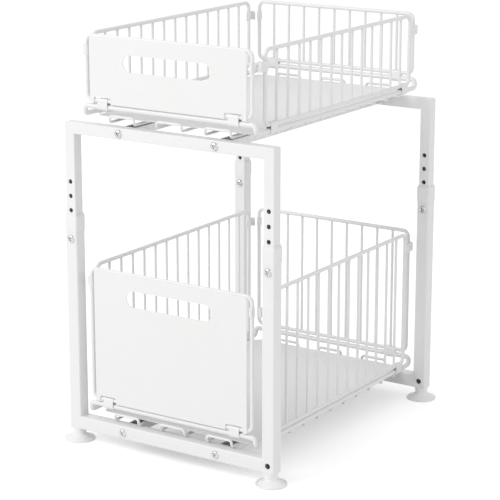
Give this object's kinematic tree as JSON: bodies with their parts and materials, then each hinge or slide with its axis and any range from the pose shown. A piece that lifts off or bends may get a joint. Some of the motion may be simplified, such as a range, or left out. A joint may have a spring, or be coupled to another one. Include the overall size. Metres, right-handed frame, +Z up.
{
  "type": "pull out cabinet basket",
  "caption": "Free-standing cabinet organiser with two sliding wire baskets with folding walls, in a steel frame of adjustable height.",
  "frame": {"origin": "on the floor, in the middle between the four feet", "axes": "+X to the right as the baskets are faced, +Y to the back of the cabinet, +Z up; the baskets pull out towards -Y"},
  "size_m": [0.363, 0.46, 0.5768],
  "materials": {
    "white_coat": "white powder coat, fine orange peel, soft gloss",
    "clip_plastic": "white moulded plastic",
    "bush_plastic": "white moulded plastic",
    "foot_plastic": "white moulded plastic, soft gloss",
    "screw_steel": "bright nickel-plated steel",
    "slide_steel": "zinc-plated steel sheet",
    "ball_steel": "polished steel"
  },
  "bodies": {
    "lower_frame": {"front_lower_frame": "white_coat", "rear_lower_frame": "white_coat", "front_left_bush": "bush_plastic", "front_right_bush": "bush_plastic", "rear_left_bush": "bush_plastic", "rear_right_bush": "bush_plastic", "front_left_foot": "foot_plastic", "front_right_foot": "foot_plastic", "rear_left_foot": "foot_plastic", "rear_right_foot": "foot_plastic", "height_screws": "screw_steel", "lower_rail_screws": "screw_steel", "lower_left_rail": "slide_steel", "lower_right_rail": "slide_steel"},
    "upper_frame": {"front_upper_frame": "white_coat", "rear_upper_frame": "white_coat", "upper_rail_screws": "screw_steel", "upper_left_rail": "slide_steel", "upper_right_rail": "slide_steel"},
    "upper_basket": {"upper_base": "white_coat", "upper_floor_plate": "white_coat", "upper_left_runner": "slide_steel", "upper_right_runner": "slide_steel", "upper_brackets": "slide_steel"},
    "upper_cages": {"upper_left_cage": "slide_steel", "upper_right_cage": "slide_steel", "upper_balls": "ball_steel"},
    "upper_front_side": {"upper_front_wall": "white_coat", "upper_front_straps": "white_coat", "upper_front_keepers": "clip_plastic"},
    "upper_rear_side": {"upper_rear_wall": "white_coat", "upper_rear_straps": "white_coat", "upper_rear_keepers": "clip_plastic"},
    "upper_left_side": {"upper_left_wall": "white_coat", "upper_left_straps": "white_coat", "upper_left_catches": "clip_plastic"},
    "upper_right_side": {"upper_right_wall": "white_coat", "upper_right_straps": "white_coat", "upper_right_catches": "clip_plastic"},
    "lower_basket": {"lower_base": "white_coat", "lower_floor_plate": "white_coat", "lower_left_runner": "slide_steel", "lower_right_runner": "slide_steel", "lower_brackets": "slide_steel"},
    "lower_cages": {"lower_left_cage": "slide_steel", "lower_right_cage": "slide_steel", "lower_balls": "ball_steel"},
    "lower_front_side": {"lower_front_wall": "white_coat", "lower_front_straps": "white_coat", "lower_front_keepers": "clip_plastic"},
    "lower_rear_side": {"lower_rear_wall": "white_coat", "lower_rear_straps": "white_coat", "lower_rear_keepers": "clip_plastic"},
    "lower_left_side": {"lower_left_wall": "white_coat", "lower_left_straps": "white_coat", "lower_left_catches": "clip_plastic"},
    "lower_right_side": {"lower_right_wall": "white_coat", "lower_right_straps": "white_coat", "lower_right_catches": "clip_plastic"}
  },
  "joints": [
    {"name": "height_setting", "type": "slide", "parent": "lower_frame", "child": "upper_frame", "axis": [0, 0, 1], "range_m": [-0.08, 0]},
    {"name": "upper_basket_slide", "type": "slide", "parent": "upper_frame", "child": "upper_basket", "axis": [0, -1, 0], "range_m": [0, 0.2]},
    {"name": "upper_cage_slide", "type": "slide", "parent": "upper_frame", "child": "upper_cages", "axis": [0, -1, 0], "range_m": [0, 0.1]},
    {"name": "upper_front_fold", "type": "hinge", "parent": "upper_basket", "child": "upper_front_side", "pos_m": [0, -0.21, 0.4795], "axis": [-1, 0, 0], "range_deg": [0, 90]},
    {"name": "upper_rear_fold", "type": "hinge", "parent": "upper_basket", "child": "upper_rear_side", "pos_m": [0, 0.21, 0.4795], "axis": [-1, 0, 0], "range_deg": [-90, 0]},
    {"name": "upper_left_fold", "type": "hinge", "parent": "upper_basket", "child": "upper_left_side", "pos_m": [-0.1365, 0, 0.468], "axis": [0, 1, 0], "range_deg": [0, 90]},
    {"name": "upper_right_fold", "type": "hinge", "parent": "upper_basket", "child": "upper_right_side", "pos_m": [0.1365, 0, 0.468], "axis": [0, 1, 0], "range_deg": [-90, 0]},
    {"name": "lower_basket_slide", "type": "slide", "parent": "lower_frame", "child": "lower_basket", "axis": [0, -1, 0], "range_m": [0, 0.2]},
    {"name": "lower_cage_slide", "type": "slide", "parent": "lower_frame", "child": "lower_cages", "axis": [0, -1, 0], "range_m": [0, 0.1]},
    {"name": "lower_front_fold", "type": "hinge", "parent": "lower_basket", "child": "lower_front_side", "pos_m": [0, -0.21, 0.06], "axis": [-1, 0, 0], "range_deg": [0, 90]},
    {"name": "lower_rear_fold", "type": "hinge", "parent": "lower_basket", "child": "lower_rear_side", "pos_m": [0, 0.21, 0.06], "axis": [-1, 0, 0], "range_deg": [-90, 0]},
    {"name": "lower_left_fold", "type": "hinge", "parent": "lower_basket", "child": "lower_left_side", "pos_m": [-0.1365, 0, 0.0485], "axis": [0, 1, 0], "range_deg": [0, 90]},
    {"name": "lower_right_fold", "type": "hinge", "parent": "lower_basket", "child": "lower_right_side", "pos_m": [0.1365, 0, 0.0485], "axis": [0, 1, 0], "range_deg": [-90, 0]}
  ],
  "couplings": [
    {"joint": "upper_cage_slide", "follows": "upper_basket_slide", "ratio": 0.5},
    {"joint": "lower_cage_slide", "follows": "lower_basket_slide", "ratio": 0.5}
  ]
}
